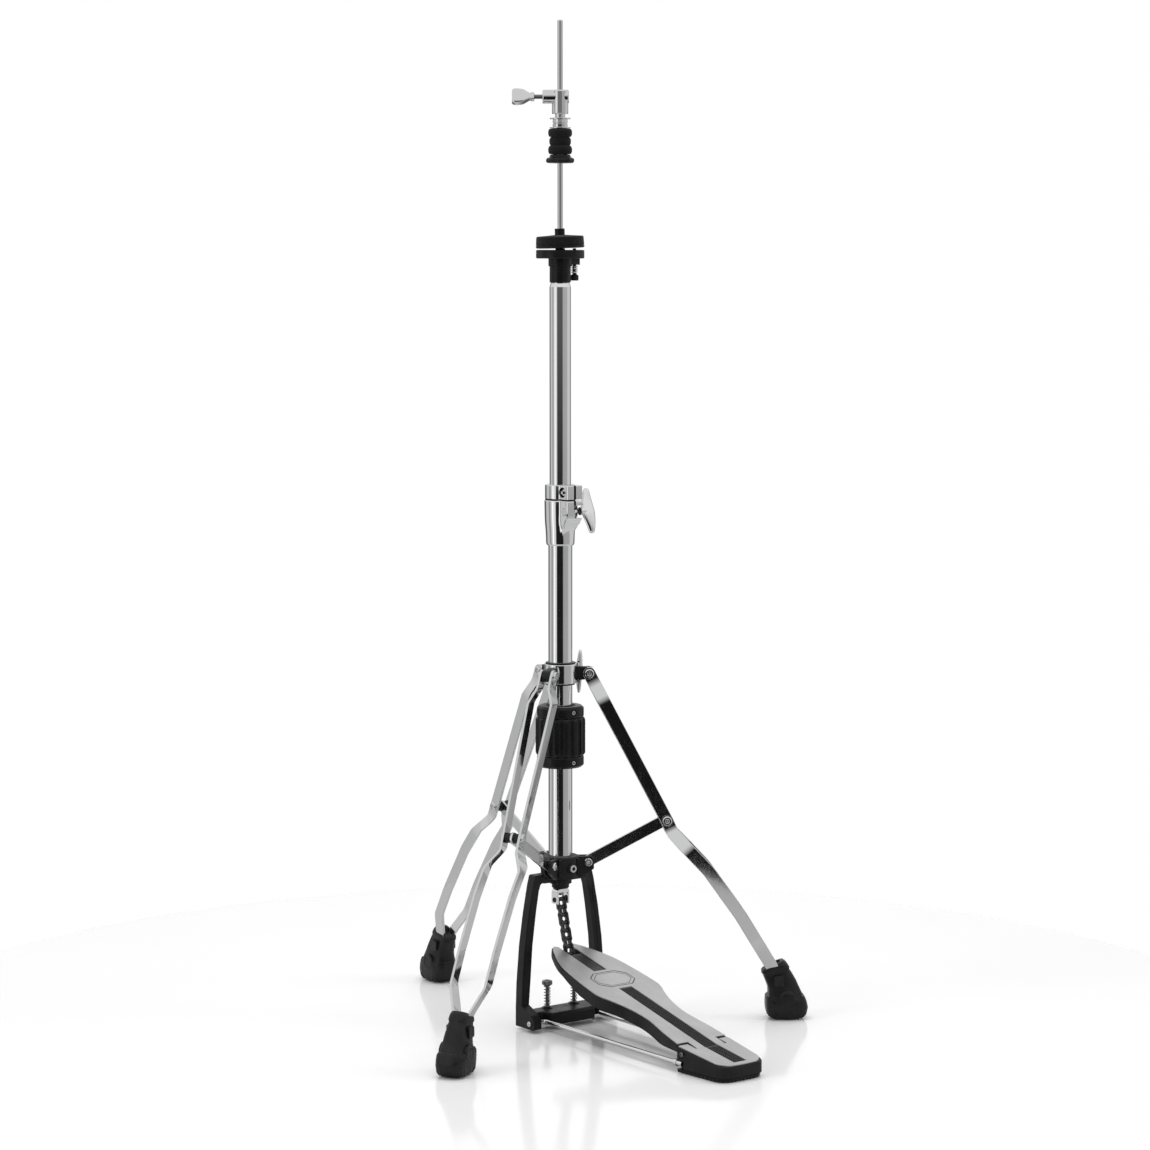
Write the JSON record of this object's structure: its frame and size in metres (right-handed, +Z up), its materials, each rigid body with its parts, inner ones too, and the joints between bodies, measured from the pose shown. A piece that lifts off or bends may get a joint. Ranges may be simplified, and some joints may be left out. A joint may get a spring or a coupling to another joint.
{
  "type": "hi-hat stand",
  "caption": "Hi-hat cymbal stand with folding double-braced legs, telescoping tubes, chain-drive foot pedal, tension housing, tilting cymbal seat and clutch.",
  "frame": {"origin": "on the floor, under the middle of the stand's bounding box", "axes": "+Z up along the tubes, -Y from the tubes towards the pedal's heel, +X to the player's right"},
  "size_m": [0.538, 0.646, 1.193],
  "materials": {
    "chrome": "mirror-bright chrome plating",
    "black_metal": "satin black powder coat",
    "black_casting": "satin black coated casting",
    "brushed": "fine brushed, clear coated",
    "rubber": "smooth moulded black rubber",
    "felt": "dense black wool felt",
    "spring_steel": "dark oiled steel"
  },
  "bodies": {
    "base": {"lower_tube": "chrome", "tube_clamp": "chrome", "housing_top_cap": "black_metal", "housing_bottom_cap": "black_metal", "spring_seat": "spring_steel", "return_spring": "spring_steel", "hub_casting": "black_metal", "back_hub_pin": "chrome", "left_hub_pin": "chrome", "right_hub_pin": "chrome", "left_upright": "black_metal", "right_upright": "black_metal", "base_plate": "black_metal", "left_rod": "chrome", "right_rod": "chrome", "heel_casting": "black_casting", "heel_plate": "brushed", "heel_sole": "rubber", "heel_hinge_pin": "chrome"},
    "leg_collar": {"leg_collar": "chrome", "collar_bushing": "rubber"},
    "collar_wing_bolt": {"collar_wing_bolt": "chrome"},
    "upper_tube": {"upper_tube": "chrome", "memory_lock": "chrome", "seat_stem": "black_metal"},
    "cymbal_seat": {"seat_cup": "black_metal", "seat_felt": "felt"},
    "tilt_screw": {"tilt_screw": "black_metal"},
    "clamp_wing_bolt": {"clamp_wing_bolt": "chrome"},
    "tension_knob": {"tension_knob": "black_metal"},
    "pull_rod": {"pull_rod": "chrome", "chain_yoke": "chrome"},
    "chain": {"chain": "spring_steel"},
    "footboard": {"footboard": "black_casting", "footboard_plate": "brushed", "footboard_grip": "rubber"},
    "clutch": {"clutch_body": "chrome", "clutch_felts": "felt"},
    "clutch_screw": {"clutch_screw": "chrome"},
    "clutch_nut": {"clutch_nut": "black_metal"},
    "left_spur": {"left_spur": "chrome"},
    "right_spur": {"right_spur": "chrome"},
    "back_leg": {"back_leg_strap_a": "chrome", "back_leg_strap_b": "chrome", "back_foot": "rubber", "back_leg_bolt": "chrome"},
    "back_brace": {"back_brace": "chrome", "back_brace_spool": "rubber"},
    "left_leg": {"left_leg_strap_a": "chrome", "left_leg_strap_b": "chrome", "left_foot": "rubber", "left_leg_bolt": "chrome"},
    "left_brace": {"left_brace": "chrome", "left_brace_spool": "rubber"},
    "right_leg": {"right_leg_strap_a": "chrome", "right_leg_strap_b": "chrome", "right_foot": "rubber", "right_leg_bolt": "chrome"},
    "right_brace": {"right_brace": "chrome", "right_brace_spool": "rubber"}
  },
  "joints": [
    {"name": "leg_collar_slide", "type": "slide", "parent": "base", "child": "leg_collar", "axis": [0, 0, 1], "range_m": [0, 0.074]},
    {"name": "back_leg_fold", "type": "hinge", "parent": "leg_collar", "child": "back_leg", "pos_m": [0.00647, 0.05589, 0.4237], "axis": [-0.9993, 0.0384, 0], "range_deg": [0, 19.7]},
    {"name": "left_leg_fold", "type": "hinge", "parent": "leg_collar", "child": "left_leg", "pos_m": [-0.02482, 0.0062, 0.4237], "axis": [0.4664, -0.8846, 0], "range_deg": [0, 19.7]},
    {"name": "right_leg_fold", "type": "hinge", "parent": "leg_collar", "child": "right_leg", "pos_m": [0.03386, 0.00395, 0.4237], "axis": [0.5329, 0.8462, 0], "range_deg": [0, 19.7]},
    {"name": "back_brace_fold", "type": "hinge", "parent": "base", "child": "back_brace", "pos_m": [0.00643, 0.05479, 0.1957], "axis": [0.9993, -0.0384, 0], "range_deg": [0, 46.6]},
    {"name": "left_brace_fold", "type": "hinge", "parent": "base", "child": "left_brace", "pos_m": [-0.02385, 0.00672, 0.1957], "axis": [-0.4664, 0.8846, 0], "range_deg": [0, 46.6]},
    {"name": "right_brace_fold", "type": "hinge", "parent": "base", "child": "right_brace", "pos_m": [0.03292, 0.00454, 0.1957], "axis": [-0.5329, -0.8462, 0], "range_deg": [0, 46.6]},
    {"name": "collar_wing_turn", "type": "hinge", "parent": "leg_collar", "child": "collar_wing_bolt", "pos_m": [0.02773, 0.03391, 0.4237], "axis": [-0.4664, 0.8846, 0], "range_deg": [-20, 20]},
    {"name": "height_slide", "type": "slide", "parent": "base", "child": "upper_tube", "axis": [0, 0, 1], "range_m": [0, 0.035]},
    {"name": "seat_tilt", "type": "hinge", "parent": "upper_tube", "child": "cymbal_seat", "pos_m": [0.00517, 0.02201, 0.9279], "axis": [0, -1, 0], "range_deg": [-1.7, 1.7]},
    {"name": "tilt_screw_slide", "type": "slide", "parent": "upper_tube", "child": "tilt_screw", "axis": [0, 0, 1], "range_m": [-0.0007, 0.0007]},
    {"name": "clamp_wing_turn", "type": "hinge", "parent": "base", "child": "clamp_wing_bolt", "pos_m": [0.01667, -0.00049, 0.618], "axis": [1, 0, 0], "continuous": true},
    {"name": "tension_knob_turn", "type": "hinge", "parent": "base", "child": "tension_knob", "pos_m": [0.00517, 0.02201, 0.348], "axis": [0, 0, 1], "continuous": true},
    {"name": "footboard_press", "type": "hinge", "parent": "base", "child": "footboard", "pos_m": [0.00517, -0.25649, 0.0216], "axis": [-1, 0, 0], "range_deg": [0, 5.7], "stiffness_Nm_per_rad": 50, "springref_deg": -9.51},
    {"name": "pull_rod_slide", "type": "slide", "parent": "base", "child": "pull_rod", "axis": [0, 0, -1], "range_m": [0, 0.0253], "deforming": ["return_spring"]},
    {"name": "chain_swing", "type": "hinge", "parent": "pull_rod", "child": "chain", "pos_m": [0.00517, 0.02201, 0.15], "axis": [1, 0, 0], "range_deg": [0, 4.7]},
    {"name": "clutch_slide", "type": "slide", "parent": "pull_rod", "child": "clutch", "axis": [0, 0, 1], "range_m": [0, 0.07]},
    {"name": "clutch_screw_turn", "type": "hinge", "parent": "clutch", "child": "clutch_screw", "pos_m": [-0.01879, 0.04007, 1.104], "axis": [-0.7986, 0.6018, 0], "continuous": true},
    {"name": "clutch_nut_turn", "type": "hinge", "parent": "clutch", "child": "clutch_nut", "pos_m": [0.00517, 0.02201, 1.0315], "axis": [0, 0, 1], "continuous": true},
    {"name": "left_spur_turn", "type": "hinge", "parent": "base", "child": "left_spur", "pos_m": [-0.01483, 0.02201, 0.03], "axis": [0, 0, 1], "continuous": true},
    {"name": "right_spur_turn", "type": "hinge", "parent": "base", "child": "right_spur", "pos_m": [0.02517, 0.02201, 0.03], "axis": [0, 0, 1], "continuous": true}
  ],
  "couplings": [
    {"joint": "back_leg_fold", "follows": "leg_collar_slide", "rad_per_m": 4.5996},
    {"joint": "left_leg_fold", "follows": "leg_collar_slide", "rad_per_m": 4.5996},
    {"joint": "right_leg_fold", "follows": "leg_collar_slide", "rad_per_m": 4.5996},
    {"joint": "back_brace_fold", "follows": "leg_collar_slide", "rad_per_m": 10.927},
    {"joint": "left_brace_fold", "follows": "leg_collar_slide", "rad_per_m": 10.927},
    {"joint": "right_brace_fold", "follows": "leg_collar_slide", "rad_per_m": 10.927},
    {"joint": "tilt_screw_slide", "follows": "seat_tilt", "m_per_rad": 0.021},
    {"joint": "pull_rod_slide", "follows": "footboard_press", "m_per_rad": 0.25106},
    {"joint": "chain_swing", "follows": "footboard_press", "ratio": 0.7888}
  ]
}
